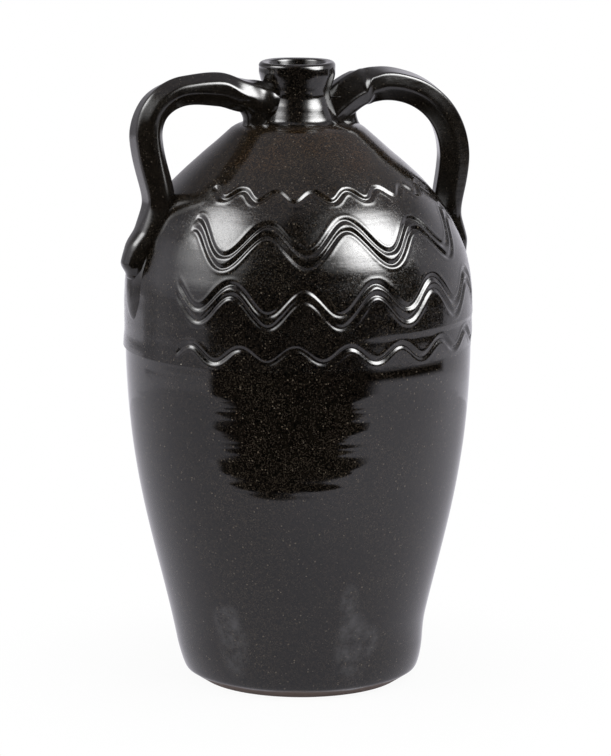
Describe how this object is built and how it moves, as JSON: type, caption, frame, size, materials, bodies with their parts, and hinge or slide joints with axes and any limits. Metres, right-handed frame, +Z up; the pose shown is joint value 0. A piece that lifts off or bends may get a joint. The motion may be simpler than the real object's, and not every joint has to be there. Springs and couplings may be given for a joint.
{
  "type": "two-handled jug",
  "caption": "Tall stoneware jug with a narrow rolled-lip neck, round shoulder and strap handles from neck to shoulder, for storing and pouring liquids.",
  "frame": {"origin": "centre of the flat resting face under the foot", "axes": "+Z up along the axis of the jug, +X through the right handle, -Y out of the incised front"},
  "size_m": [0.1849, 0.1764, 0.315],
  "materials": {
    "lower_glaze": "glossy near-black olive-brown ash glaze with fine tan speckle, bare clay at the foot",
    "upper_glaze": "glossy near-black olive-brown ash glaze with fine tan speckle and rusty brown tint near the neck",
    "neck_glaze": "glossy near-black olive-brown glaze with fine tan speckle",
    "handle_glaze": "glossy near-black glaze, thinner and browner on the ridges",
    "joint_slip": "matt fired clay slip, unglazed"
  },
  "bodies": {
    "root": {"lower_body": "lower_glaze", "seam_slip": "joint_slip", "upper_body": "upper_glaze", "neck_collar": "neck_glaze", "left_handle": "handle_glaze", "right_handle": "handle_glaze", "left_neck_wad": "handle_glaze", "right_neck_wad": "handle_glaze", "left_tail_pad": "handle_glaze", "right_tail_pad": "handle_glaze"}
  },
  "joints": []
}
